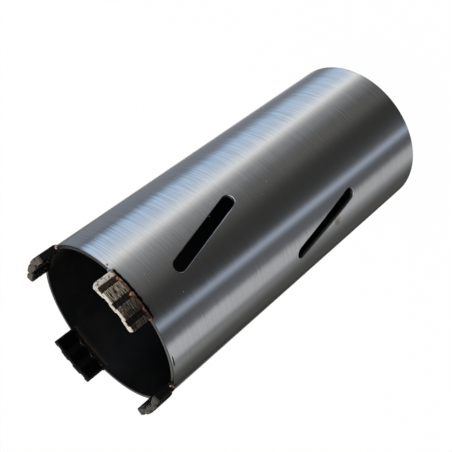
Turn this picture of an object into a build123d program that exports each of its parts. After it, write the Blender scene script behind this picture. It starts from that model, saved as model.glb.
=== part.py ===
"""Diamond core bit for dry drilling: a slotted steel barrel with four turbo segments on its mouth.

The bit stands on its hub with the mouth up.  Millimetres and degrees throughout.
+Z runs from the drive hub to the cutting mouth, and the origin is the middle of the hub's back face.
"""

import os
from math import cos, radians, sin

from build123d import *

# ---- Driving dimensions -------------------------------------------------------------------------
cutting_diameter = 68.0  # diameter of the hole that the segments cut
barrel_diameter = 66.5
barrel_wall = 1.5
barrel_length = 148.0  # bare tube, from its back edge to its mouth
mouth_chamfer = 0.2
back_chamfer = 0.5

segment_count = 4
segment_height = 8.0  # how far the segments stand past the mouth
segment_thickness = 3.0  # radial, so the kerf that the bit cuts
segment_arc = 34.8  # degrees that one segment covers
segment_edge_round = 0.3
outer_groove_width = 2.2
outer_groove_depth = 1.0
outer_groove_round = 0.35
groove_pitch = 11.7  # degrees between neighbouring grooves of one face
inner_groove_width = 2.6
inner_groove_depth = 0.8
inner_groove_round = 0.35

slot_length = 37.6  # overall, round end to round end
slot_width = 5.0
slot_slant = 13.3  # degrees that a slot leans from the axis
slot_edge_chamfer = 0.2
slot_count = 4  # one spiral of slots, each further from the mouth and further round
first_slot_depth = 36.0  # from the mouth to the first slot's middle
first_slot_angle = -87.5
slot_step = 16.8
slot_turn = 104.2
rim_tolerance = 0.01  # how near an edge lies to the wall's outer face to count as on it

hub_diameter = 30.0
hub_flats = 26.0  # spanner size across the two flats
hub_flats_height = 5.0
hub_projection = 8.0  # hub's back face to the barrel's back edge
hub_chamfer = 0.8
spigot_diameter = 22.0
spigot_projection = 5.0  # spigot beyond the inner face of the back plate
thread_diameter = 16.0  # major diameter of the M16 drive thread
thread_lead_in = 1.0

plate_thickness = 5.0
plate_recess = 1.5  # plate's back face inside the barrel's back edge
plate_chamfer = 0.4

plate_weld_leg = 1.2
hub_weld_leg = 2.0
weld_crown = 0.62  # part of the leg that a bead's crown reaches, so it bulges a little
braze_leg = 0.6  # braze under each overhang of a segment

# ---- Places worked out from them ----------------------------------------------------------------
barrel_radius = barrel_diameter / 2
bore_radius = barrel_radius - barrel_wall
barrel_back = hub_projection
mouth = barrel_back + barrel_length
cutting_radius = cutting_diameter / 2
core_radius = cutting_radius - segment_thickness
plate_back = barrel_back + plate_recess
plate_front = plate_back + plate_thickness
spigot_end = plate_front + spigot_projection
segment_pitch = 360 / segment_count


def export_piece(piece, name):
    """Label a finished piece and write its STEP file."""
    piece.part.label = name
    export_step(piece.part, f"parts/{name}.step")


def wall_plane(angle, height, stand_off):
    """Plane that faces out of the barrel: its x runs round the wall and its y runs up the axis."""
    outward = Vector(cos(radians(angle)), sin(radians(angle)), 0)
    around = Vector(-sin(radians(angle)), cos(radians(angle)), 0)
    centre = outward * (barrel_radius + stand_off) + Vector(0, 0, height)
    return Plane(origin=centre, x_dir=around, z_dir=outward)


def is_slot_rim(edge):
    """Whether an edge of the barrel is where a slot breaks through the wall's outer face."""
    if edge.geom_type in (GeomType.CIRCLE, GeomType.LINE):
        return False
    middle = edge @ 0.5
    return abs(Vector(middle.X, middle.Y, 0).length - barrel_radius) < rim_tolerance


# ---- Barrel: rolled tube with slanted, round-ended slots through its wall ------------------------
def make_barrel():
    """Tube open at both ends, with a spiral of slots for dust and for levering out the core."""
    slot_stand_off = 1.0
    slot_cut = slot_stand_off + bore_radius / 2
    with BuildPart() as barrel:
        with BuildSketch(Plane.XY.offset(barrel_back)):
            Circle(barrel_radius)
            Circle(bore_radius, mode=Mode.SUBTRACT)
        extrude(amount=barrel_length)
        rings = barrel.edges().filter_by(GeomType.CIRCLE)
        chamfer(rings.group_by(Axis.Z)[-1], length=mouth_chamfer)
        back_ring = barrel.edges().filter_by(GeomType.CIRCLE).group_by(Axis.Z)[0]
        chamfer(back_ring.sort_by(SortBy.RADIUS)[-1], length=back_chamfer)
        for index in range(slot_count):
            height = mouth - first_slot_depth - index * slot_step
            angle = first_slot_angle + index * slot_turn
            with BuildSketch(wall_plane(angle, height, slot_stand_off)):
                SlotOverall(slot_length, slot_width, rotation=90 + slot_slant)
            extrude(amount=-slot_cut, mode=Mode.SUBTRACT)
        slot_rims = [edge for edge in barrel.edges() if is_slot_rim(edge)]
        chamfer(slot_rims, length=slot_edge_chamfer)
    return barrel


# ---- Back plate: turned disc that closes the barrel ----------------------------------------------
def make_back_plate():
    """Disc pressed into the barrel, with a hole for the hub's spigot."""
    with BuildPart() as plate:
        with BuildSketch(Plane.XY.offset(plate_back)):
            Circle(bore_radius)
            Circle(spigot_diameter / 2, mode=Mode.SUBTRACT)
        extrude(amount=plate_thickness)
        front_ring = plate.edges().filter_by(GeomType.CIRCLE).group_by(Axis.Z)[-1]
        chamfer(front_ring.sort_by(SortBy.RADIUS)[-1], length=plate_chamfer)
    return plate


# ---- Hub: turned collar with two spanner flats and the drive thread's hole -----------------------
def make_hub():
    """Collar that seats on the plate's back face, with a spigot through the plate."""
    collar_radius = hub_diameter / 2
    spigot_radius = spigot_diameter / 2
    thread_radius = thread_diameter / 2
    with BuildPart() as hub:
        with BuildSketch(Plane.XZ):
            with BuildLine():
                Polyline(
                    (thread_radius + thread_lead_in, 0),
                    (collar_radius - hub_chamfer, 0),
                    (collar_radius, hub_chamfer),
                    (collar_radius, plate_back),
                    (spigot_radius, plate_back),
                    (spigot_radius, spigot_end),
                    (thread_radius + thread_lead_in, spigot_end),
                    (thread_radius, spigot_end - thread_lead_in),
                    (thread_radius, thread_lead_in),
                    close=True,
                )
            make_face()
        revolve(axis=Axis.Z)
        flat_offset = (hub_flats + hub_diameter) / 2
        with BuildSketch(Plane.XY):
            with Locations((0, flat_offset), (0, -flat_offset)):
                Rectangle(hub_diameter, hub_diameter)
        extrude(amount=hub_flats_height, mode=Mode.SUBTRACT)
    return hub


# ---- Weld beads: rings of filler in the two corners of the back end ------------------------------
def make_weld_ring(corner_radius, leg):
    """Convex fillet bead on the plate's back face, in the corner at corner_radius.

    A positive leg runs outwards from the corner and a negative one runs inwards.
    """
    depth = abs(leg)
    with BuildPart() as bead:
        with BuildSketch(Plane.XZ):
            with BuildLine():
                Polyline(
                    (corner_radius, plate_back),
                    (corner_radius + leg, plate_back),
                    (corner_radius + leg * weld_crown, plate_back - depth * weld_crown),
                    (corner_radius, plate_back - depth),
                    close=True,
                )
            make_face()
        revolve(axis=Axis.Z)
    return bead


# ---- Turbo segment: sintered block with staggered grooves on its two curved faces ----------------
def make_segment(centre_angle):
    """Curved block on the mouth: three grooves across its outer face and two across its inner one."""
    half_arc = radians(segment_arc / 2)
    reach = 2 * cutting_radius
    outer_angles = [centre_angle + step * groove_pitch for step in (-1, 0, 1)]
    inner_angles = [centre_angle + step * groove_pitch for step in (-0.5, 0.5)]
    with BuildPart() as segment:
        with BuildSketch(Plane.XY.offset(mouth)):
            Circle(cutting_radius)
            Circle(core_radius, mode=Mode.SUBTRACT)
            with Locations(Location((0, 0), centre_angle)):
                Polygon(
                    (0, 0),
                    (reach * cos(half_arc), -reach * sin(half_arc)),
                    (reach * cos(half_arc), reach * sin(half_arc)),
                    align=None,
                    mode=Mode.INTERSECT,
                )
            for angle in outer_angles:
                with PolarLocations(cutting_radius, 1, start_angle=angle):
                    RectangleRounded(
                        2 * outer_groove_depth,
                        outer_groove_width,
                        radius=outer_groove_round,
                        mode=Mode.SUBTRACT,
                    )
            for angle in inner_angles:
                with PolarLocations(core_radius, 1, start_angle=angle):
                    RectangleRounded(
                        2 * inner_groove_depth,
                        inner_groove_width,
                        radius=inner_groove_round,
                        mode=Mode.SUBTRACT,
                    )
        extrude(amount=segment_height)
        tip_edges = segment.edges().group_by(Axis.Z)[-1]
        chamfer(tip_edges, length=segment_edge_round)
    return segment


# ---- Braze: filler under the overhangs of a segment ----------------------------------------------
def make_braze(centre_angle):
    """Two curved strips of filler, outside and inside the wall, that tie a segment to the mouth."""
    with BuildPart() as braze:
        with BuildSketch(Plane.XZ):
            for wall_radius, leg in ((barrel_radius, braze_leg), (bore_radius, -braze_leg)):
                with BuildLine():
                    Polyline(
                        (wall_radius, mouth),
                        (wall_radius + leg, mouth),
                        (wall_radius, mouth - braze_leg),
                        close=True,
                    )
                make_face()
        revolve(axis=Axis.Z, revolution_arc=segment_arc)
    first_edge = centre_angle - segment_arc / 2
    braze.part = Rot(0, 0, first_edge) * braze.part
    return braze


os.makedirs("parts", exist_ok=True)

export_piece(make_barrel(), "barrel")
export_piece(make_back_plate(), "back_plate")
export_piece(make_hub(), "hub")
export_piece(make_weld_ring(bore_radius, -plate_weld_leg), "plate_weld")
export_piece(make_weld_ring(hub_diameter / 2, hub_weld_leg), "hub_weld")
for number in range(1, segment_count + 1):
    middle = (number - 1) * segment_pitch
    export_piece(make_segment(middle), f"segment_{number}")
    export_piece(make_braze(middle), f"braze_{number}")
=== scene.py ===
"""Looks of the diamond core bit: a slotted, brushed steel barrel with four turbo segments.

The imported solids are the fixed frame.  This script gives them their finishes and adds what the
solids leave plain: the drive thread, the rippled weld beads, the run-out braze, the worn segments
and their diamond grit.  Lengths are in metres, except where a name ends in _mm.
"""

import logging
from abc import ABC, abstractmethod
from dataclasses import dataclass
from enum import Enum
from math import cos, degrees, pi, radians, sin
from random import Random

import bmesh
import bpy
from bmesh.types import BMEdge, BMesh
from bpy.types import Material, Node, NodeSocket, NodeTree, Object
from mathutils import Matrix, Quaternion, Vector, noise


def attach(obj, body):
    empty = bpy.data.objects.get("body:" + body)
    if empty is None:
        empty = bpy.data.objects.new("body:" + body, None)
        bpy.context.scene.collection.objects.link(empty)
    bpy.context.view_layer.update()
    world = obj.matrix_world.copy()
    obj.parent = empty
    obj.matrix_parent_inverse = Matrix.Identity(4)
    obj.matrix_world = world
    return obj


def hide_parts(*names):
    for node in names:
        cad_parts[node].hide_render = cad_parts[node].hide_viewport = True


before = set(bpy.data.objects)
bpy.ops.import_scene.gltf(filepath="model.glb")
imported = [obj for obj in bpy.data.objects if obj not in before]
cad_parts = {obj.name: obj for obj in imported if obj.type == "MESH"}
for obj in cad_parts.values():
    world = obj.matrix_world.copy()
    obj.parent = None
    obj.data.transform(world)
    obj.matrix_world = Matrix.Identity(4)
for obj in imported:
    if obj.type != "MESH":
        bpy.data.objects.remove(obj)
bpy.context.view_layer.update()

log = logging.getLogger("core_bit")

MM = 0.001
USUAL = {  # settings of a node unless a call gives its own: colours are mixed, and ranges eased
    "Mix": {"data_type": "RGBA"},
    "MapRange": {"interpolation_type": "SMOOTHSTEP"},
}
EVEN = {"interpolation_type": "LINEAR"}  # makes a Map Range node run straight
Source = object  # a node, one of its outputs, a plain value or a hex colour


# ---- Sizes that the solids share with these pieces -----------------------------------------------
BARREL_RADIUS_MM = 33.25
BORE_RADIUS_MM = 31.75
MOUTH_MM = 156.0
TIP_MM = 164.0
CUTTING_RADIUS_MM = 34.0
CORE_RADIUS_MM = 31.0
HALF_ARC = 17.4  # degrees from a segment's middle to its end
GROOVE_PITCH = 11.7  # degrees between neighbouring grooves of one face
PLATE_BACK_MM = 9.5
RIGHT, FAR, LEFT, FRONT = 0.0, 90.0, 180.0, 270.0  # degrees, the four segments' middles


# ---- Helpers for materials -----------------------------------------------------------------------
def linear(hex_colour: str) -> tuple[float, float, float, float]:
    """Turn an sRGB hex colour into the linear colour that a shader takes.

    Args:
        hex_colour: Colour such as "#C8C9CA".

    Returns:
        Red, green, blue and an alpha of 1.
    """
    parts = [int(hex_colour[i : i + 2], 16) / 255 for i in (1, 3, 5)]
    curve = [c / 12.92 if c <= 0.04045 else ((c + 0.055) / 1.055) ** 2.4 for c in parts]
    return curve[0], curve[1], curve[2], 1.0


class Wiring:
    """One node tree, and the way to add to it."""

    def __init__(self, tree: NodeTree) -> None:
        """Start with an empty tree."""
        self.tree = tree
        tree.nodes.clear()

    def add(self, kind: str, links: tuple | dict = (), **settings) -> Node:
        """Add a node with its settings and links.

        Args:
            kind: Node type without its first word, such as "Mix", or with its operation behind it.
            links: Sources of the shown inputs in their order, or by name.
            **settings: Properties of the node itself.

        Returns:
            The new node.
        """
        kind, _, operation = kind.partition(" ")
        node = self.tree.nodes.new("ShaderNode" + kind)
        if operation:
            node.operation = operation
        for name, value in {**USUAL.get(kind, {}), **settings}.items():
            setattr(node, name, value)
        if isinstance(links, dict):
            pairs = [(node.inputs[name], source) for name, source in links.items()]
        else:
            pairs = zip([socket for socket in node.inputs if socket.enabled], links)
        for socket, source in pairs:
            if isinstance(source, Node):
                source = next(output for output in source.outputs if output.enabled)
            if isinstance(source, NodeSocket):
                self.tree.links.new(source, socket)
            else:
                socket.default_value = linear(source) if isinstance(source, str) else source
        return node

    def seen_by_camera(self) -> Node:
        """Whether a ray comes from the camera, straight or through glass."""
        rays = self.add("LightPath").outputs
        return self.add("Math MAXIMUM", (rays["Is Camera Ray"], rays["Is Transmission Ray"]))


class RoundPlace(Wiring):
    """Where a shaded point is on the bit, in millimetres and degrees round its axis."""

    def __init__(self, tree: NodeTree) -> None:
        """Add the nodes that every finish shares.

        Args:
            tree: Node tree of one material.
        """
        super().__init__(tree)
        metres = self.add("TexCoord").outputs["Object"]
        self.place = self.add("VectorMath SCALE", (metres, 1 / MM))
        x, y, self.height = self.add("SeparateXYZ", (self.place,)).outputs
        flat = self.add("CombineXYZ", (x, y))
        self.radius = self.add("VectorMath LENGTH", (flat,))
        self.outward = self.add("VectorMath NORMALIZE", (flat,))
        turned = self.add("Math ARCTAN2", (y, x))
        self.angle = self.add("Math DEGREES", (turned,))

    def turned_lines(self, spacing_mm: float, run_mm: float) -> Node:
        """Noise drawn out round the axis, as a belt leaves it: lines a spacing apart, each a run long."""
        drawn = self.add("VectorMath MULTIPLY", (self.place, (1 / run_mm, 1 / run_mm, 1 / spacing_mm)))
        return self.add("TexNoise", {"Vector": drawn, "Scale": 1.0, "Detail": 3.0})

    def facing_out(self) -> Node:
        """How squarely the surface faces the axis or away from it.

        Returns:
            A node that is 1 on a wall and 0 on a cut across it.
        """
        normal = self.add("NewGeometry").outputs["True Normal"]
        along = self.add("VectorMath DOT_PRODUCT", (normal, self.outward))
        return self.add("Math ABSOLUTE", (along.outputs["Value"],))

    def blotches(self, size_mm: float, detail: float, start: float, end: float, most: float = 1.0) -> Node:
        """Share of soft blotches, such as rust or oil, where noise of a size passes from start to end."""
        cloud = self.add("TexNoise", {"Vector": self.place, "Scale": 1 / size_mm, "Detail": detail})
        return self.add("MapRange", (cloud, start, end, 0, most))

    def facing_up(self) -> NodeSocket:
        """How much the surface faces the cutting end."""
        normal = self.add("NewGeometry").outputs["Normal"]
        return self.add("SeparateXYZ", (normal,)).outputs[2]

    def degrees_from(self, centre: float) -> Node:
        """Signed degrees round the axis from a direction."""
        turned = self.add("Math SUBTRACT", (self.angle, centre))
        return self.add("Math WRAP", (turned, 180.0, -180.0))

    def from_segment(self) -> Node:
        """Degrees round the axis from the nearest segment's middle."""
        turned = self.add("Math WRAP", (self.angle, 45.0, -45.0))
        return self.add("Math ABSOLUTE", (turned,))

    def ragged_height(self, size_mm: float, reach_mm: float) -> Node:
        """Height that wanders up and down, for edges that ran by themselves.

        Args:
            size_mm: Size of the wander's blotches.
            reach_mm: How far it wanders either way.

        Returns:
            The Math node.
        """
        cloud = self.add("TexNoise", {"Vector": self.place, "Scale": 1 / size_mm, "Detail": 3.0})
        wander = self.add("MapRange", (cloud, 0.25, 0.75, -reach_mm, reach_mm), **EVEN)
        return self.add("Math ADD", (self.height, wander))


@dataclass(frozen=True)
class Finish(ABC):
    """One surface finish of the real object."""

    name: str

    def material(self) -> Material:
        """Make the material of this finish.

        Returns:
            The material.
        """
        made = bpy.data.materials.new(self.name)
        made.use_nodes = True
        at = RoundPlace(made.node_tree)
        at.add("OutputMaterial", {"Surface": self.paint(at)})
        return made

    @abstractmethod
    def paint(self, at: RoundPlace) -> Node:
        """Add the finish's nodes.

        Args:
            at: Shaded point.

        Returns:
            The shader.
        """


# ---- Finishes ------------------------------------------------------------------------------------
@dataclass(frozen=True)
class BrushedBarrel(Finish):
    """Rolled steel tube, belt-ground round its axis: satin, with glints drawn out along the tube."""

    plain: str = "#C3C4C5"
    bright: str = "#CFD1D2"
    dull: str = "#B8BABB"
    cut_edge: str = "#605F5B"
    # painted highlight on slot edges that face the mouth or one way round
    edge_highlight: str = "#F2F4F6"
    scale_dark: str = "#0B0C0E"
    scale_light: str = "#1C1B1A"
    # painted shade deep in the bore
    bore_shade: str = "#040508"
    rust: str = "#2E2018"
    # colour of the smudge and of the root line, which is partly flux and partly a painted shadow under the
    # segment's overhang
    burnt_and_shade: str = "#0C0A09"
    straw: str = "#7D6C55"
    stain: str = "#75634A"
    line_mm: float = 0.3  # real belt lines are about 0.1 mm apart, drawn coarser so that they show
    line_run_mm: float = 15.0
    worked_side: float = -62.0  # degrees; the belt bit hardest on this side and the one across
    sway: float = 0.013  # how far the belt lines tip the surface round the axis
    roughness: float = 0.22
    stain_spot_mm: tuple[float, float, float] = (-25.7, -21.1, 63.3)
    smudge_angle: float = -139.5
    smudge_depth_mm: float = 1.0

    def paint(self, at: RoundPlace) -> Node:
        """Brushed outside, mill scale in the bore, dull cut edges and charred steel by the segments, with
        a painted highlight on some slot edges, painted shade deep in the bore and a painted shadow under
        each segment's root.

        Args:
            at: Shaded point.

        Returns:
            The shader.
        """
        lines = at.turned_lines(self.line_mm, self.line_run_mm)
        tone = at.add("MapRange", (lines, 0.36, 0.64))
        worked = self.worked(at)
        lined = at.add("Mix", (tone, self.dull, self.bright))
        steel = at.add("Mix", (worked, self.plain, lined))
        steel = self.marked(at, steel)
        facing = at.facing_out()
        cut = at.add("MapRange", (facing, 0.93, 0.82))
        steel = at.add("Mix", (cut, steel, self.edge(at, facing)))
        outside = at.add("MapRange", (at.radius, BORE_RADIUS_MM + 0.1, BORE_RADIUS_MM + 0.3))
        colour = at.add("Mix", (outside, self.mill_scale(at), steel))
        colour = self.burnt_and_shaded_roots(at, colour)
        worn = at.add("MapRange", (cut, 0, 1, self.roughness, 0.46), **EVEN)
        rough = at.add("Mix", (outside, 0.62, worn), data_type="FLOAT")
        links = {
            "Base Color": colour,
            "Metallic": at.add("MapRange", (outside, 0, 1, 0.5, 1.0), **EVEN),
            "Roughness": rough,
            "Anisotropic": 0.85,
            "Anisotropic Rotation": 0.25,
            "Tangent": at.add("Tangent", direction_type="RADIAL", axis="Z"),
            "Normal": self.swayed(at, tone, worked),
        }
        return at.add("BsdfPrincipled", links)

    def worked(self, at: RoundPlace) -> Node:
        """Belt lines: strong on one side and the one across, weak between.

        Args:
            at: Shaded point.

        Returns:
            Their share.
        """
        twice = at.add("Math MULTIPLY_ADD", (at.angle, radians(2), radians(-2 * self.worked_side)))
        wave = at.add("Math COSINE", (twice,))
        return at.add("MapRange", (wave, 0.15, 0.95, 0.3))

    def swayed(self, at: RoundPlace, tone: Source, worked: Source) -> Node:
        """Normal that each belt line tips round the axis, which frays the glints' edges.

        Args:
            at: Shaded point.
            tone: Pattern of the belt lines.
            worked: Their share.

        Returns:
            The normal.
        """
        normal = at.add("NewGeometry").outputs["Normal"]
        around = at.add("VectorMath CROSS_PRODUCT", (normal, (0.0, 0.0, 1.0)))
        tip = at.add("MapRange", (tone, 0, 1, -self.sway, self.sway), **EVEN)
        share = at.add("Math MULTIPLY", (tip, worked))
        tilt = at.add("VectorMath SCALE", (around, share))
        tipped = at.add("VectorMath ADD", (normal, tilt))
        return at.add("VectorMath NORMALIZE", (tipped,))

    def edge(self, at: RoundPlace, facing: Source) -> Node:
        """Cut edges: dull, with a painted highlight on a slot's edges that face the mouth or one way
        round.

        Args:
            at: Shaded point.
            facing: How squarely the surface faces the axis.

        Returns:
            The colour.
        """
        normal = at.add("NewGeometry").outputs["True Normal"]
        around = at.add("VectorMath CROSS_PRODUCT", ((0.0, 0.0, 1.0), at.outward))
        turned = at.add("VectorMath DOT_PRODUCT", (normal, around)).outputs["Value"]
        # painted highlight: chamfers that face one way round or towards the mouth turn near white
        side = at.add("MapRange", (turned, 0.3, 0.6, 0, 0.45))
        highlight_facing = at.add("MapRange", (at.facing_up(), 0.35, 0.6))
        highlight_facing = at.add("Math MAXIMUM", (highlight_facing, side))
        bevel = at.add("MapRange", (facing, 0.3, 0.6))
        slots = at.add("MapRange", (at.height, MOUTH_MM - 1, MOUTH_MM - 2), **EVEN)
        bevel = at.add("Math MULTIPLY", (bevel, slots))
        share = at.add("Math MULTIPLY", (highlight_facing, bevel))
        return at.add("Mix", (share, self.cut_edge, self.edge_highlight))

    def marked(self, at: RoundPlace, steel: Source) -> Node:
        """Brown stain beside one slot, and a thin smudge at the mouth.

        Args:
            at: Shaded point.
            steel: Colour that they lie on.

        Returns:
            The colour.
        """
        gap = at.add("VectorMath DISTANCE", (at.place, self.stain_spot_mm))
        cloud = at.add("TexNoise", {"Vector": at.place, "Scale": 0.8, "Detail": 3.0})
        ragged = at.add("MapRange", (cloud, 0.3, 0.7, -0.9, 0.9), **EVEN)
        gap = at.add("Math ADD", (gap.outputs["Value"], ragged))
        spot = at.add("MapRange", (gap, 2.8, 0.4, 0, 0.6))
        steel = at.add("Mix", (spot, steel, self.stain))
        off = at.add("Math ABSOLUTE", (at.degrees_from(self.smudge_angle),))
        along = at.add("MapRange", (off, 5.0, 2.5))
        below = at.add("Math SUBTRACT", (at.height, MOUTH_MM - self.smudge_depth_mm))
        below = at.add("Math ABSOLUTE", (below,))
        across = at.add("MapRange", (below, 0.4, 0.15))
        share = at.add("Math MULTIPLY", (along, across))
        return at.add("Mix", (share, steel, self.burnt_and_shade))

    def mill_scale(self, at: RoundPlace) -> Node:
        """Blue-black scale of the bore, with faint laps and a few rusty blotches, and painted shade that
        darkens it deeper into the bore.

        Args:
            at: Shaded point.

        Returns:
            The colour.
        """
        scale = at.add("Mix", (at.blotches(11, 4, 0.36, 0.7), self.scale_dark, self.scale_light))
        rusty = at.blotches(5, 5, 0.56, 0.72, 0.6)
        scale = at.add("Mix", (rusty, scale, self.rust))
        # painted shade: the scale darkens deeper into the bore
        deep = at.add("MapRange", (at.height, MOUTH_MM - 8, MOUTH_MM - 34, 0, 0.85))
        return at.add("Mix", (deep, scale, self.bore_shade))

    def burnt_and_shaded_roots(self, at: RoundPlace, colour: Source) -> Node:
        """Black line along each segment's root, partly flux and partly a painted shadow under the
        segment's overhang, and a faint straw heat tint.

        Args:
            at: Shaded point.
            colour: Colour that they lie on.

        Returns:
            The colour.
        """
        height = at.ragged_height(1.6, 0.35)
        root = at.add("MapRange", (at.from_segment(), HALF_ARC + 1.6, HALF_ARC - 0.2))
        warm = at.add("MapRange", (height, MOUTH_MM - 3.6, MOUTH_MM - 0.8, 0, 0.3))
        warm = at.add("Math MULTIPLY", (warm, root))
        colour = at.add("Mix", (warm, colour, self.straw))
        # painted shadow under the segment's overhang, over a flux line
        black = at.add("MapRange", (height, MOUTH_MM - 1.65, MOUTH_MM - 1.3))
        black = at.add("Math MULTIPLY", (black, root))
        return at.add("Mix", (black, colour, self.burnt_and_shade))


@dataclass(frozen=True)
class SinteredMetal(Finish):
    """Cobalt and bronze sinter: ground ribs with fine lines, sooted grooves painted in shade, and a worn
    tip.
    """

    centre: float = 0.0  # degrees, the segment's middle
    tip: str = "#6B635B"
    tip_dark: str = "#4A443F"
    rib_dark: str = "#3A3430"
    rib_light: str = "#6E655C"
    # painted shade: tone of the ribs' far end and of the pits
    dim: str = "#2A2522"
    # black of the grooves and end faces: partly sooted sinter, partly painted shade
    soot_and_shade: str = "#0B0908"
    warm_soot: str = "#0B0908"
    copper: str = "#7A4E3A"
    far_end_shade: float = 0.0  # painted shade: how much darker the ribs get towards the segment's far end
    near_end_highlight: float = 0.0  # painted highlight: brightness of the rib at the near end
    brow_mm: float = 1.1  # how far the tip's tone reaches down the sides
    pit_shade: float = 0.0  # painted shade: how dark the pits of pulled-out diamonds are
    pit_mm: float = 0.35  # diamonds of 40 mesh
    line_mm: float = 0.32  # real grinding lines are about 0.1 mm apart, drawn coarser so that they show
    line_run_mm: float = 2.6

    def paint(self, at: RoundPlace) -> Node:
        """Lined ribs, sooted grooves and ends black with painted shade, a paler tip and braze-wetted root.

        Args:
            at: Shaded point.

        Returns:
            The shader.
        """
        off = at.degrees_from(self.centre)
        lines = at.turned_lines(self.line_mm, self.line_run_mm)
        tone = at.add("MapRange", (lines, 0.42, 0.58))
        ribs = at.add("Mix", (tone, self.rib_dark, self.rib_light))
        # painted shade on the ribs towards the segment's far end
        far = at.add("MapRange", (off, 5.0, -9.0, 0, self.far_end_shade))
        ribs = at.add("Mix", (far, ribs, self.dim))
        speckle = at.blotches(1.1, 5, 0.34, 0.48)
        tip = at.add("Mix", (speckle, self.tip_dark, self.tip))
        # painted highlight on the rib at the near end
        near = at.add("MapRange", (off, 13.2, 13.7, 0, self.near_end_highlight))
        near = at.add("Math MULTIPLY", (near, speckle))
        ribs = at.add("Mix", (near, ribs, tip))
        # grooves and end faces: sooted, and painted black with shade as well
        deep = self.sooty_and_shaded(at)
        warmth = at.add("MapRange", (off, 9.6, 12.6))
        soot_and_shade = at.add("Mix", (warmth, self.soot_and_shade, self.warm_soot))
        sides = at.add("Mix", (deep, ribs, soot_and_shade))
        top = at.add("MapRange", (at.facing_up(), 0.45, 0.75))
        brow = at.add("MapRange", (at.height, TIP_MM - self.brow_mm, TIP_MM - self.brow_mm + 0.2))
        top = at.add("Math MAXIMUM", (top, brow))
        colour = at.add("Mix", (top, sides, tip))
        pits = at.add("TexVoronoi", {"Vector": at.place, "Scale": 1 / (2 * self.pit_mm)})
        rare = at.add("SeparateColor", (pits.outputs["Color"],)).outputs[0]
        rare = at.add("MapRange", (rare, 0.72, 0.76), **EVEN)
        # painted shade in the pits
        pit = at.add("MapRange", (pits.outputs["Distance"], 0.3, 0.2, 0, self.pit_shade))
        pit = at.add("Math MULTIPLY", (pit, rare))
        colour = at.add("Mix", (pit, colour, self.dim))
        root = at.ragged_height(0.9, 0.7)
        wet = at.add("MapRange", (root, MOUTH_MM + 0.8, MOUTH_MM + 0.35, 0, 0.8))
        colour = at.add("Mix", (wet, colour, self.copper))
        relief = at.add("Math SUBTRACT", (lines, pit))
        bump = {"Height": relief, "Strength": 0.3, "Distance": 0.05 * MM}
        links = {
            "Base Color": colour,
            "Metallic": at.add("MapRange", (deep, 0, 1, 0.85, 0.0), **EVEN),
            "Roughness": at.add("MapRange", (deep, 0, 1, 0.42, 0.9), **EVEN),
            "Specular IOR Level": 0.2,
            "Normal": at.add("Bump", bump),
        }
        return at.add("BsdfPrincipled", links)

    def sooty_and_shaded(self, at: RoundPlace) -> Node:
        """Soot and painted shade in the grooves and on the end faces.

        Args:
            at: Shaded point.

        Returns:
            Its share.
        """
        outer = at.add("MapRange", (at.radius, CUTTING_RADIUS_MM - 0.14, CUTTING_RADIUS_MM - 0.5))
        inner = at.add("MapRange", (at.radius, CORE_RADIUS_MM + 0.15, CORE_RADIUS_MM + 0.45))
        within = at.add("Math MULTIPLY", (outer, inner))
        return at.add("Math MULTIPLY", (within, 0.95))


@dataclass(frozen=True)
class RunBraze(Finish):
    """Silver-copper braze, run out and left as it set: metal beads under skins of charred flux."""

    metal: str = "#C48D72"
    tarnish: str = "#6B4534"
    flux: str = "#1A1412"
    # painted shading: braze on the bore side is darker where that side lies in shade, lighter on the far
    # segment where it is lit
    bore_side_shading: str = "#3A332C"
    skinned: float = 0.7
    shine: float = 0.32

    def paint(self, at: RoundPlace) -> Node:
        """Rosy metal that tarnishes in blotches.

        Args:
            at: Shaded point.

        Returns:
            The shader.
        """
        fine = at.add("TexNoise", {"Vector": at.place, "Scale": 1 / 0.9, "Detail": 4.0})
        tone = at.add("MapRange", (fine, 0.36, 0.6))
        colour = at.add("Mix", (tone, self.tarnish, self.metal))
        skin = at.blotches(2.1, 3, 0.52, 0.64, self.skinned)
        colour = at.add("Mix", (skin, colour, self.flux))
        # painted shading of the braze's bore side
        inner = at.add("MapRange", (at.radius, BORE_RADIUS_MM + 0.35, BORE_RADIUS_MM + 0.05, 0, 0.9))
        colour = at.add("Mix", (inner, colour, self.bore_side_shading))
        bump = {"Height": fine, "Strength": 0.3, "Distance": 0.08 * MM}
        links = {
            "Base Color": colour,
            "Metallic": 0.85,
            "Roughness": at.add("MapRange", (skin, 0, 1, self.shine, 0.7), **EVEN),
            "Normal": at.add("Bump", bump),
        }
        return at.add("BsdfPrincipled", links)


@dataclass(frozen=True)
class TurnedSteel(Finish):
    """Lathe-turned mild steel: fine feed rings, with a film of oil that dulls it in patches."""

    bright: str = "#B9B8B5"
    dull: str = "#8B8A87"
    oil: str = "#4B463F"
    feed_mm: float = 0.5  # real feed is about 0.2 mm a turn, drawn coarser so that it shows
    roughness: float = 0.3
    oiled: float = 0.35

    def paint(self, at: RoundPlace) -> Node:
        """Rings by radius and height, with blotches of oil.

        Args:
            at: Shaded point.

        Returns:
            The shader.
        """
        travel = at.add("Math ADD", (at.radius, at.height))
        across = at.add("CombineXYZ", (travel,))
        rings = at.add("TexNoise", {"Vector": across, "Scale": 1 / self.feed_mm, "Detail": 2.0})
        tone = at.add("MapRange", (rings, 0.34, 0.66))
        colour = at.add("Mix", (tone, self.dull, self.bright))
        film = at.blotches(7, 4, 0.45, 0.68, self.oiled)
        colour = at.add("Mix", (film, colour, self.oil))
        bump = {"Height": rings, "Strength": 0.35, "Distance": 0.03 * MM}
        links = {
            "Base Color": colour,
            "Metallic": 1.0,
            "Roughness": at.add("MapRange", (film, 0, 1, self.roughness, self.roughness + 0.25), **EVEN),
            "Normal": at.add("Bump", bump),
        }
        return at.add("BsdfPrincipled", links)


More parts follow.
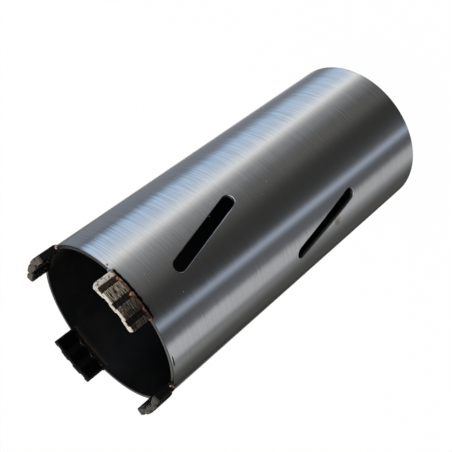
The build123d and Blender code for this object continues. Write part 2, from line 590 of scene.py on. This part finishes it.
@dataclass(frozen=True)
class WeldMetal(Finish):
    """Arc-welded steel, wire-brushed: grey ripples with straw and blue heat tints."""

    steel: str = "#8F8D89"
    dark: str = "#3C3935"
    straw: str = "#8A6F4A"
    blue: str = "#4A5568"

    def paint(self, at: RoundPlace) -> Node:
        """Grey metal that is tinted by heat in long patches.

        Args:
            at: Shaded point.

        Returns:
            The shader.
        """
        tone = at.blotches(1.2, 4, 0.35, 0.65)
        colour = at.add("Mix", (tone, self.dark, self.steel))
        for size_mm, tint in ((6, self.straw), (8, self.blue)):
            share = at.blotches(size_mm, 2, 0.5, 0.64, 0.55)
            colour = at.add("Mix", (share, colour, tint))
        grain = at.add("TexNoise", {"Vector": at.place, "Scale": 1 / 0.35, "Detail": 2.0})
        bump = {"Height": grain, "Strength": 0.35, "Distance": 0.05 * MM}
        links = {
            "Base Color": colour,
            "Metallic": 0.9,
            "Roughness": 0.38,
            "Normal": at.add("Bump", bump),
        }
        return at.add("BsdfPrincipled", links)


@dataclass(frozen=True)
class DiamondGrit(Finish):
    """Synthetic diamond crystals of 40 mesh: small, sharp and glassy, yellow-grey to near black."""

    pale: str = "#A79F86"
    dark: str = "#4E4A40"
    shine: float = 0.5

    def paint(self, at: RoundPlace) -> Node:
        """Every crystal its own tone.

        Args:
            at: Shaded point.

        Returns:
            The shader.
        """
        cells = at.add("TexVoronoi", {"Vector": at.place, "Scale": 1.2})
        tone = at.add("SeparateColor", (cells.outputs["Color"],)).outputs[0]
        colour = at.add("Mix", (tone, self.dark, self.pale))
        links = {"Base Color": colour, "Roughness": 0.4, "IOR": 2.42, "Specular IOR Level": self.shine}
        return at.add("BsdfPrincipled", links)


@dataclass(frozen=True)
class PaleFloor(Finish):
    """Matt pale board, white to the camera, that keeps the bit's soft shadow."""

    glow: float = 0.985  # share of plain white in what the camera sees of it

    def paint(self, at: RoundPlace) -> Node:
        """Matt paint under a glow that only the camera sees.

        Args:
            at: Shaded point.

        Returns:
            The shader.
        """
        paint = at.add("BsdfDiffuse", {"Color": "#E6E6E6"})
        glow = at.add("Emission", {"Color": "#FFFFFF", "Strength": 1.0})
        share = at.add("Math MULTIPLY", (at.seen_by_camera(), self.glow))
        return at.add("MixShader", (share, paint, glow))


# ---- Studio --------------------------------------------------------------------------------------
@dataclass(frozen=True)
class Panel:
    """One upright light panel of the tent, by its compass direction seen from the bit."""

    direction: float  # degrees from +X towards +Y
    half_width: float  # degrees
    fade: float  # degrees over which its edge falls off
    colour: str
    level: float
    lean: float  # degrees that its direction turns from the horizon to straight up


@dataclass
class Studio:
    """Pale floor, the light tent round it, and the camera."""

    centre_mm: tuple[float, float, float] = (-24.44, -272.21, 266.20)
    aim_mm: tuple[float, float, float] = (1.75, -0.17, 90.70)
    roll: float = -127.74  # degrees that the camera is turned about its line of sight
    lens_mm: float = 64.89
    floor_size_mm: float = 6000.0
    tent_base: str = "#3B3B39"
    lean_height: float = -0.53  # up part of the sight line at which a panel stands at its direction
    ceiling_level: float = 0.9
    ceiling_edges: tuple[float, float] = (42, 56)  # degrees above level, where it sets in
    panels: tuple[Panel, ...] = (
        Panel(82, 17, 18, "#FFFDFA", 1.35, 20),  # pale wall behind the bit
        Panel(39, 20, 7, "#E0EAFF", 0.3, -18),  # dim stretch between the wall and the window
        Panel(4, 10.5, 24, "#C8E1FF", 1.07, -42),  # the window, where it shows the sky
        Panel(-17, 10.5, 24, "#E6F0FF", 0.98, -42),  # its middle
        Panel(-32, 6, 24, "#FFFAF2", 1.12, -46),  # its sunny edge
        Panel(-49, 13, 24, "#F5F8FF", 0.3, -52),  # what it spills on the room
        Panel(-76, 14, 24, "#FFF8F3", 0.1, -32),  # the room's dark side
        Panel(-139, 2, 17, "#D9E9FF", 1.06, 17),  # strip light
        Panel(-155, 14, 16, "#EDEFFF", 0.17, -70),  # what it spills
        Panel(-178, 12.5, 9, "#FCFDFF", 0.56, 14),  # soft box
        Panel(162, 7.5, 23, "#FEFEFF", 0.31, 2),  # what it spills
        Panel(137, 15, 22, "#FFF8EA", 0.05, 57),  # back corner
    )
    lamp_mm: tuple[float, float, float] = (500.0, 300.0, 1100.0)
    lamp_width_mm: float = 900.0
    lamp_watts: float = 4.0

    def build(self) -> None:
        """Make the whole studio."""
        self.camera()
        self.floor()
        self.tent()
        self.soft_box()

    def camera(self) -> None:
        """Put the camera at its place, turned about its line of sight."""
        data = bpy.data.cameras.new("camera")
        data.lens = self.lens_mm
        data.clip_start, data.clip_end = 0.01, 20.0
        bpy.context.scene.camera = aimed("camera", data, self.centre_mm, self.aim_mm, self.roll)

    def floor(self) -> None:
        """Lay the floor, which metal doesn't see."""
        grid = bmesh.new()
        bmesh.ops.create_grid(grid, x_segments=1, y_segments=1, size=self.floor_size_mm * MM / 2)
        floor = object_from(grid, "floor")
        floor.data.materials.append(PaleFloor("pale_floor").material())
        floor.visible_glossy = False

    def tent(self) -> None:
        """World that metal sees as upright panels, diffuse surfaces as grey and the camera as white."""
        world = bpy.data.worlds.new("tent")
        bpy.context.scene.world = world
        world.use_nodes = True
        wires = Wiring(world.node_tree)
        toward = wires.add("TexCoord").outputs["Generated"]
        east, north, up = wires.add("SeparateXYZ", (toward,)).outputs
        compass = wires.add("Math ARCTAN2", (north, east))
        light = wires.add("Mix", (0.0, self.tent_base))
        above = wires.add("Math SUBTRACT", (up, self.lean_height))
        for panel in self.panels:
            stand = wires.add("Math MULTIPLY_ADD", (above, radians(panel.lean), radians(panel.direction)))
            offset = wires.add("Math SUBTRACT", (compass, stand))
            offset = wires.add("Math WRAP", (offset, pi, -pi))
            offset = wires.add("Math ABSOLUTE", (offset,))
            outer = radians(panel.half_width + panel.fade / 2)
            inner = radians(panel.half_width - panel.fade / 2)
            amount = wires.add("MapRange", (offset, outer, inner, 0, panel.level))
            light = wires.add("Mix", (amount, light, panel.colour), blend_type="ADD", clamp_factor=False)
        roof = wires.add("MapRange", (up, *(sin(radians(edge)) for edge in self.ceiling_edges)))
        roof = wires.add("Math MULTIPLY", (roof, self.ceiling_level))
        light = wires.add("Mix", (roof, light, "#F4F8FF"))
        rays = wires.add("LightPath")
        metal_sees = wires.add("Background", (light, 1.0))
        rest_sees = wires.add("Background", ("#E4E4E4", 0.8))
        white = wires.add("Background", ("#FFFFFF", 1.0))
        lit = wires.add("MixShader", (rays.outputs["Is Glossy Ray"], rest_sees, metal_sees))
        final = wires.add("MixShader", (wires.seen_by_camera(), lit, white))
        wires.add("OutputWorld", {"Surface": final})

    def soft_box(self) -> None:
        """One large soft lamp overhead."""
        data = bpy.data.lights.new("soft_box", "AREA")
        data.shape = "DISK"
        data.size = self.lamp_width_mm * MM
        data.energy = self.lamp_watts
        aimed("soft_box", data, self.lamp_mm, (0, 0, 90)).visible_glossy = False


def aimed(name: str, data: bpy.types.ID, place_mm: tuple, aim_mm: tuple, roll: float = 0.0) -> Object:
    """Put a camera or lamp at its place and aim it.

    Args:
        name: Name of the object.
        data: Camera or lamp.
        place_mm: Its place.
        aim_mm: Point that it looks at.
        roll: Degrees that it is turned about its line of sight.

    Returns:
        The object.
    """
    made = bpy.data.objects.new(name, data)
    bpy.context.scene.collection.objects.link(made)
    made.location = Vector(place_mm) * MM
    sight = Vector(aim_mm) * MM - made.location
    made.rotation_mode = "QUATERNION"
    turn = Quaternion((0, 0, 1), radians(roll))
    made.rotation_quaternion = sight.to_track_quat("-Z", "Y") @ turn
    return made


def object_from(form: BMesh, name: str) -> Object:
    """Turn a finished bmesh into an object of the scene.

    Args:
        form: Mesh in its place; it is freed.
        name: Name of the object.

    Returns:
        The object.
    """
    mesh = bpy.data.meshes.new(name)
    form.to_mesh(mesh)
    form.free()
    made = bpy.data.objects.new(name, mesh)
    bpy.context.scene.collection.objects.link(made)
    return made


# ---- Pieces --------------------------------------------------------------------------------------
class Slot(Enum):
    """Material slots of the record; no piece here takes them."""

    HUB = "hub_steel"
    WELD = "weld_bead"
    SINTER = "sintered_metal"
    BRAZE = "braze_filler"


def polar(radius_mm: float, angle: float, height_mm: float) -> Vector:
    """Point in metres from its radius, its angle in degrees from +X and its height."""
    turn = radians(angle)
    return Vector((radius_mm * cos(turn), radius_mm * sin(turn), height_mm)) * MM


def round_place(point: Vector) -> tuple[float, float, float]:
    """Radius in millimetres, angle in degrees and height in millimetres of a point in metres."""
    flat = Vector((point.x, point.y))
    return flat.length / MM, -degrees(Vector((1, 0)).angle_signed(flat)), point.z / MM


def piece_from(
    form: BMesh, name: str, finish: Material, smooth: bool = True
) -> Object:
    """Turn a finished bmesh into a piece that rides on the bit.

    Args:
        form: Mesh in its place; it is freed.
        name: Name of the piece.
        finish: Its material.
        smooth: Whether its faces are shaded smooth.

    Returns:
        The piece.
    """
    piece = object_from(form, name)
    piece.data.materials.append(finish)
    faces = piece.data.polygons
    faces.foreach_set("use_smooth", [smooth] * len(faces))
    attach(piece, "root")
    log.info("%s: %d faces, %s", name, len(faces), finish.name)
    return piece


def spin(form: BMesh, geom: list, turn: float, steps: int, rise_mm: float = 0.0) -> None:
    """Spin a profile round the bit's axis, and close the far end unless it comes full circle.

    Args:
        form: Mesh that gets it.
        geom: Vertices and edges of the profile.
        turn: Angle in radians.
        steps: Number of steps.
        rise_mm: How far each step climbs.
    """
    full = turn == 2 * pi
    rise = (0, 0, rise_mm * MM)
    spun = bmesh.ops.spin(
        form, geom=geom, axis=(0, 0, 1), dvec=rise, angle=turn, steps=steps, use_merge=full
    )
    if not full:
        last = [item for item in spun["geom_last"] if isinstance(item, BMEdge)]
        bmesh.ops.contextual_create(form, geom=last)


def keep_in_box(form: BMesh, gap_mm: float) -> None:
    """Hold every vertex within the cutting radius and below the tip.

    Args:
        form: Mesh whose vertices are moved.
        gap_mm: What is left free within the cutting radius.
    """
    for vert in form.verts:
        radius, angle, height = round_place(vert.co)
        vert.co = polar(min(radius, CUTTING_RADIUS_MM - gap_mm), angle, min(height, TIP_MM))


def add_droplet(form: BMesh, centre: Vector, sizes_mm: tuple[float, float, float], angle: float) -> None:
    """Add a set droplet: a ball stretched outwards, round and along the wall, with an uneven skin.

    Args:
        form: Mesh that gets it.
        centre: Its middle, in metres.
        sizes_mm: Its radii outwards, round the axis and along it.
        angle: Direction in degrees that it faces.
    """
    stretch = Matrix.Diagonal((*(size * MM for size in sizes_mm), 1.0))
    place = Matrix.Translation(centre) @ Matrix.Rotation(radians(angle), 4, "Z") @ stretch
    made = bmesh.ops.create_icosphere(form, subdivisions=3, radius=1.0, matrix=place)
    for vert in made["verts"]:
        swell = noise.noise(vert.co / MM * 1.1) * 0.2
        vert.co += (vert.co - centre) * swell


@dataclass
class Segment:
    """One sintered block, made from its solid: worn edges, grinding lines, pits and loose grit."""

    number: int
    centre: float  # degrees
    finish: Material
    grit: Material
    chip_depth_mm: float
    voxel_mm: float = 0.16
    line_depth_mm: float = 0.035
    pit_depth_mm: float = 0.4
    grit_count: int = 150

    def build(self) -> None:
        """Remesh a copy of the solid evenly, wear it, set grit in it and let it stand for the solid."""
        node = f"segment_{self.number}"
        form = self.even_copy(node)
        self.wear(form)
        form.normal_update()
        self.set_grit(form)
        piece = piece_from(form, f"worn_segment_{self.number}", self.finish)
        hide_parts(node)

    def even_copy(self, node: str) -> BMesh:
        """Copy of the solid with small faces of one size.

        Args:
            node: Name of the solid.

        Returns:
            The copy.
        """
        copy = bmesh.new()
        copy.from_mesh(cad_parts[node].data)
        bmesh.ops.remove_doubles(copy, verts=copy.verts, dist=0.001 * MM)
        block = object_from(copy, "rough_block")
        remesh = block.modifiers.new("even_mesh", "REMESH")
        remesh.mode = "VOXEL"
        remesh.voxel_size = self.voxel_mm * MM
        shown = block.evaluated_get(bpy.context.evaluated_depsgraph_get())
        even = bpy.data.meshes.new_from_object(shown)
        form = bmesh.new()
        form.from_mesh(even)
        bpy.data.objects.remove(block)
        bpy.data.meshes.remove(even)
        bmesh.ops.smooth_vert(
            form, verts=form.verts, factor=0.5, use_axis_x=True, use_axis_y=True, use_axis_z=True
        )
        form.normal_update()
        return form

    def wear(self, form: BMesh) -> None:
        """Sink grinding lines, pits and chips into the surface; nothing moves outwards.

        Args:
            form: Even block.
        """
        shift = Vector((0.0, 0.0, 7.3 * self.number))
        for vert in form.verts:
            spot = vert.co / MM
            radius = Vector((spot.x, spot.y)).length
            drawn = Vector((spot.x * 0.25, spot.y * 0.25, spot.z * 2.6)) + shift
            lines = max(0.0, noise.noise(drawn) + 0.5) * self.line_depth_mm
            pits = max(0.0, noise.noise(spot * 1.7 + shift) - 0.3) * self.pit_depth_mm
            edge = min(abs(radius - CUTTING_RADIUS_MM), abs(radius - CORE_RADIUS_MM))
            tip_edge = max(0.0, 1.0 - edge / 0.8) * max(0.0, 1.0 - abs(TIP_MM - spot.z) / 1.0)
            chips = tip_edge * max(0.0, noise.noise(spot * 0.7 + shift) + 0.2) * self.chip_depth_mm
            vert.co += vert.normal * -(lines + pits + chips) * MM

    def set_grit(self, form: BMesh) -> None:
        """Half-sunk crystals on the ribs and the tip.

        Args:
            form: Worn block that they sit in.
        """
        draw = Random(self.number)
        open_faces = []
        for face in form.faces:
            spot = face.calc_center_median()
            radius, _, height = round_place(spot)
            on_rib = radius > CUTTING_RADIUS_MM - 0.2 or radius < CORE_RADIUS_MM + 0.15
            if height > MOUTH_MM + 1.4 and (on_rib or face.normal.z > 0.8):
                open_faces.append((spot, face.normal.copy()))
        grit = bmesh.new()
        for spot, normal in draw.sample(open_faces, self.grit_count):
            size = draw.uniform(0.1, 0.19) * MM
            middle = spot - normal * size * 0.45
            turn = Matrix.Rotation(draw.uniform(0, pi), 4, Vector((draw.random(), draw.random(), 1.0)))
            place = Matrix.Translation(middle) @ turn
            bmesh.ops.create_icosphere(grit, subdivisions=1, radius=size, matrix=place)
        keep_in_box(grit, 0.02)
        piece_from(grit, f"grit_{self.number}", self.grit, smooth=False)


@dataclass(frozen=True)
class Droplet:
    """One droplet of braze at a segment's root."""

    offset: float  # degrees from the segment's middle
    radius_mm: float
    lift_mm: float  # height above the barrel's mouth
    sizes_mm: tuple[float, float, float]  # radii outwards, round the axis and along it


ENDS = (  # on every segment but the front one
    Droplet(17.9, 33.0, 0.1, (0.45, 0.4, 0.4)),
    Droplet(0.2, 33.1, 0.1, (0.5, 0.8, 0.5)),
    Droplet(-11.6, 33.0, 0.1, (0.5, 0.7, 0.45)),
)
DROPLETS = {
    RIGHT: (*ENDS, Droplet(-18.3, 32.75, 0.35, (0.65, 0.6, 0.6))),
    FAR: (
        *ENDS,
        Droplet(5.9, 31.45, 0.3, (0.35, 0.75, 0.42)),
        Droplet(-5.9, 31.45, 0.2, (0.35, 0.85, 0.45)),
        Droplet(15.4, 31.3, 0.2, (0.35, 0.7, 0.4)),
    ),
    LEFT: (
        *ENDS,
        Droplet(17.4, 32.5, 0.4, (0.5, 0.45, 0.5)),
        Droplet(13.5, 33.35, -0.45, (0.3, 0.5, 0.42)),
    ),
    FRONT: (
        Droplet(17.9, 33.0, 0.25, (0.55, 0.5, 0.5)),
        Droplet(-17.9, 32.9, 0.2, (0.6, 0.45, 0.45)),
        Droplet(-0.35, 33.1, 0.25, (0.8, 1.1, 0.95)),
        Droplet(11.6, 33.05, 0.35, (0.7, 0.8, 0.6)),
        Droplet(-10.6, 33.2, 0.25, (0.6, 1.0, 0.35)),
        Droplet(-14.4, 33.4, 0.3, (0.45, 0.7, 0.35)),
        Droplet(-17.2, 33.35, 0.2, (0.55, 0.6, 0.55)),
    ),
}


@dataclass
class BrazeRun:
    """Braze of one segment: a wavy roll under each overhang, and droplets where it ran out."""

    number: int
    centre: float
    finish: Material
    roll_mm: float = 0.32
    sink_mm: float = 0.12  # how far below the mouth the rolls' middles lie
    steps: int = 72
    sides: int = 10

    def build(self) -> None:
        """Make the two rolls and the droplets, and let them stand for the plain strips."""
        form = bmesh.new()
        self.roll(form, BARREL_RADIUS_MM + 0.12, (-1.0, 0.0, 1.0), -0.35, 3.0)
        self.roll(form, BORE_RADIUS_MM - 0.2, (-0.5, 0.5), 0.4, 11.0)
        for droplet in DROPLETS[self.centre]:
            angle = self.centre + droplet.offset
            place = polar(droplet.radius_mm, angle, MOUTH_MM + droplet.lift_mm)
            add_droplet(form, place, droplet.sizes_mm, angle)
        keep_in_box(form, 0.03)
        bmesh.ops.recalc_face_normals(form, faces=form.faces)
        piece = piece_from(form, f"braze_run_{self.number}", self.finish)
        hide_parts(f"braze_{self.number}")

    def roll(
        self, form: BMesh, radius_mm: float, grooves: tuple[float, ...], step_mm: float, seed: float
    ) -> None:
        """Spin a round bead along the root, close its ends and make it wavy.

        Args:
            form: Mesh that gets it.
            radius_mm: Distance of the bead's middle from the axis.
            grooves: Where the grooves are, in groove pitches from the middle.
            step_mm: How far the bead steps outwards at a groove.
            seed: Moves the waves' pattern.
        """
        start = self.centre - HALF_ARC
        height = MOUTH_MM - self.sink_mm
        upright = Matrix.Rotation(radians(start), 4, "Z") @ Matrix.Rotation(pi / 2, 4, "X")
        place = Matrix.Translation(polar(radius_mm, start, height)) @ upright
        known = set(form.verts)
        ring = bmesh.ops.create_circle(
            form, cap_ends=True, segments=self.sides, radius=self.roll_mm * MM, matrix=place
        )
        edges = list({edge for vert in ring["verts"] for edge in vert.link_edges})
        spin(form, ring["verts"] + edges, radians(2 * HALF_ARC), self.steps)
        for vert in set(form.verts) - known:
            radius, angle, level = round_place(vert.co)
            off = (angle - self.centre + 180) % 360 - 180
            nearest = min(abs(off - groove * GROOVE_PITCH) for groove in grooves)
            step = step_mm * max(0.0, 1 - (nearest / 2.4) ** 2)
            wave = Vector((angle * 0.55, seed, 0.0))
            swell = 1.0 + 0.5 * noise.noise(wave) + 0.3 * noise.noise(wave * 3.1)
            drift = 0.12 * noise.noise(wave * 1.7 + Vector((5, 5, 5)))
            out = (radius - radius_mm) * swell
            vert.co = polar(radius_mm + step + out, angle, height + (level - height) * swell + drift)


@dataclass
class Spatter:
    """Small set droplets on the barrel's wall and rim."""

    name: str
    finish: Material
    spots: tuple[tuple[float, float, float, float], ...]  # depth from mouth, angle, stand-out, size

    def build(self) -> None:
        """Flatten each droplet against the wall."""
        form = bmesh.new()
        for depth_mm, angle, out_mm, size_mm in self.spots:
            place = polar(BARREL_RADIUS_MM + out_mm, angle, MOUTH_MM - depth_mm)
            add_droplet(form, place, (size_mm * 0.55, size_mm * 1.2, size_mm), angle)
        keep_in_box(form, 0.03)
        bmesh.ops.recalc_face_normals(form, faces=form.faces)
        piece_from(form, self.name, self.finish)


@dataclass
class WeldBead:
    """Rippled fillet bead in a round corner of the back end."""

    node: str
    corner_radius_mm: float
    leg_mm: float  # runs outwards if positive
    finish: Material
    ripple_mm: float = 1.3
    ripple_depth_mm: float = 0.16
    profile_points: int = 9
    steps: int = 320

    def build(self) -> None:
        """Spin a convex fillet all the way round, then ripple it."""
        form = bmesh.new()
        depth = abs(self.leg_mm)
        verts = [form.verts.new(polar(self.corner_radius_mm, 0, PLATE_BACK_MM))]
        for index in range(self.profile_points):
            turn = index / (self.profile_points - 1) * pi / 2
            bulge = 1.0 - 0.2 * sin(2 * turn)
            out = self.leg_mm * cos(turn) * bulge
            down = depth * sin(turn) * bulge
            verts.append(form.verts.new(polar(self.corner_radius_mm + out, 0, PLATE_BACK_MM - down)))
        edges = [form.edges.new(pair) for pair in zip(verts, verts[1:] + verts[:1])]
        spin(form, verts + edges, 2 * pi, self.steps)
        bmesh.ops.remove_doubles(form, verts=form.verts, dist=0.001 * MM)
        bmesh.ops.recalc_face_normals(form, faces=form.faces)
        form.normal_update()
        self.ripple(form)
        piece = piece_from(form, f"{self.node}_ripples", self.finish)
        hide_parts(self.node)

    def ripple(self, form: BMesh) -> None:
        """Press overlapping crescents into the bead's face.

        Args:
            form: Smooth bead.
        """
        count = round(2 * pi * self.corner_radius_mm / self.ripple_mm)
        depth = abs(self.leg_mm)
        for vert in form.verts:
            radius, angle, height = round_place(vert.co)
            across = (PLATE_BACK_MM - height) / depth
            reach = abs(radius - self.corner_radius_mm) / depth
            lag = 0.3 * (1 - (2 * across - 1) ** 2)
            phase = (angle / 360 * count + lag) % 1.0
            open_face = min(1.0, 3.0 * min(across, reach))
            wander = 0.5 + 0.5 * noise.noise(Vector((vert.co.x, vert.co.y, 0)) / MM * 0.3)
            pressed = self.ripple_depth_mm * (phase**2 + 0.3 * wander)
            vert.co += vert.normal * -open_face * pressed * MM


@dataclass
class DriveThread:
    """Inner thread of the hub: one helical ridge that stands in from the hole's wall."""

    finish: Material
    major_radius_mm: float = 8.0
    minor_radius_mm: float = 6.92
    pitch_mm: float = 2.0
    bottom_mm: float = 1.15
    top_mm: float = 18.35
    steps_per_turn: int = 48

    def build(self) -> None:
        """Spin a trapezoid up the helix and taper its two ends into the wall."""
        form = bmesh.new()
        half_root, half_crest = 0.44 * self.pitch_mm, 0.125 * self.pitch_mm
        corners = (
            (self.major_radius_mm + 0.02, -half_root),
            (self.minor_radius_mm, -half_crest),
            (self.minor_radius_mm, half_crest),
            (self.major_radius_mm + 0.02, half_root),
        )
        start = self.bottom_mm + half_root
        verts = [form.verts.new(polar(radius, 0, start + up)) for radius, up in corners]
        form.faces.new(verts)
        steps = round((self.top_mm - start - half_root) / self.pitch_mm * self.steps_per_turn)
        turn = 2 * pi * steps / self.steps_per_turn
        spin(form, form.verts[:] + form.edges[:], turn, steps, self.pitch_mm / self.steps_per_turn)
        for vert in form.verts:
            radius, angle, height = round_place(vert.co)
            near_end = min(height - self.bottom_mm, self.top_mm - height) / self.pitch_mm
            kept = min(1.0, max(0.0, near_end * 1.6))
            vert.co = polar(self.major_radius_mm - (self.major_radius_mm - radius) * kept, angle, height)
        bmesh.ops.recalc_face_normals(form, faces=form.faces)
        piece_from(form, "drive_thread_ridge", self.finish, smooth=False)


def dress(node: str, finish: Material) -> None:
    """Give a solid its finish.

    Args:
        node: Name of the solid.
        finish: Its material.
    """
    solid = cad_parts[node]
    if not solid.material_slots:
        solid.data.materials.append(None)
    for slot in solid.material_slots:
        slot.link = "OBJECT"
        slot.material = finish
    log.info("%s: %s", node, finish.name)


def main() -> None:
    """Build the studio and dress the bit."""
    logging.basicConfig(level=logging.INFO, format="%(message)s")
    bpy.context.scene.view_settings.view_transform = "Standard"
    Studio().build()

    dress("barrel", BrushedBarrel("belt_ground_steel_tube").material())
    dress("back_plate", TurnedSteel("turned_steel_plate").material())
    hub = TurnedSteel("turned_steel_hub", bright="#C4C3C0", dull="#989794", roughness=0.26)
    dress("hub", hub.material())
    thread = TurnedSteel("cut_steel_thread", bright="#B0AFAC", dull="#7C7B78", oiled=0.6)
    DriveThread(thread.material()).build()
    weld = WeldMetal("arc_weld_steel").material()
    WeldBead("plate_weld", BORE_RADIUS_MM, -1.2, weld).build()
    WeldBead("hub_weld", 15.0, 2.0, weld).build()

    clean_grit = DiamondGrit("synthetic_diamond_grit").material()
    # the far segment's grit: a copy painted in shade
    shaded_grit = DiamondGrit("shaded_diamond_grit", pale="#15140F", dark="#0B0A08", shine=0.02).material()
    # copies of one sinter, each painted with the light or shade on its segment: the front one lit, the far
    # one in deep shade, the other two in shade
    sinters = (
        SinteredMetal(
            "sinter_painted_shade_right",
            RIGHT,
            rib_dark="#171716",
            rib_light="#2B2A26",
            soot_and_shade="#151611",
            copper="#2A211C",
        ),
        SinteredMetal(
            "sinter_painted_deep_shade",
            FAR,
            tip="#1F1F1F",
            tip_dark="#161616",
            rib_dark="#0B0B0D",
            rib_light="#131316",
            copper="#1D1A18",
        ),
        SinteredMetal(
            "sinter_painted_shade_left",
            LEFT,
            tip="#55534E",
            tip_dark="#3B3835",
            rib_dark="#1E1D1A",
            rib_light="#3A3833",
            soot_and_shade="#24221D",
            copper="#3A2D26",
        ),
        SinteredMetal(
            "sinter_painted_light_front",
            FRONT,
            tip="#F6EBDD",
            tip_dark="#A3968A",
            rib_dark="#41372F",
            rib_light="#D3C4B0",
            warm_soot="#3A2819",
            far_end_shade=0.75,
            near_end_highlight=0.9,
            pit_shade=0.85,
            brow_mm=0.3,
        ),
    )
    # copies of one braze: the far one is painted in shade, and each copy's bore side carries painted
    # shade, or light on the far one
    brazes = (
        RunBraze("braze_rosy", metal="#F4E0D8", tarnish="#A88474", bore_side_shading="#1A1613", skinned=0.3),
        RunBraze("braze_painted_shade", metal="#4A443F", tarnish="#2A2523", bore_side_shading="#564A41", skinned=0.8),
        RunBraze("braze_pale", metal="#E6C9B6", tarnish="#8C6350", bore_side_shading="#1F1A17", skinned=0.4),
        RunBraze("braze_copper"),
    )
    for number, (sinter, braze) in enumerate(zip(sinters, brazes), start=1):
        grit = shaded_grit if sinter.centre == FAR else clean_grit
        chip_mm = 0.3 if sinter.centre == FRONT else 0.1
        Segment(number, sinter.centre, sinter.material(), grit, chip_mm).build()
        BrazeRun(number, sinter.centre, braze.material()).build()
    silvery = RunBraze("braze_silvery", metal="#B4B9C2", tarnish="#70747C", skinned=0.2).material()
    Spatter("rim_spill", silvery, ((0.15, -71.0, -0.35, 0.75), (0.35, -72.4, -0.25, 0.6))).build()
    copper = RunBraze("braze_fleck", skinned=0.0).material()
    Spatter("copper_fleck", copper, ((0.9, -67.6, -0.15, 0.5),)).build()
    specks = (
        (7.4, -90.8, 0.0, 0.26),
        (7.7, -85.9, 0.0, 0.16),
        (15.3, -107.3, 0.0, 0.16),
        (64.9, -90.9, 0.0, 0.12),
        (70.2, -85.8, 0.0, 0.2),
        (33.0, -104.3, 0.0, 0.1),
        (41.6, -81.6, -0.05, 0.18),
    )
    Spatter("weld_specks", silvery, specks).build()


if __name__ == "__main__":
    main()
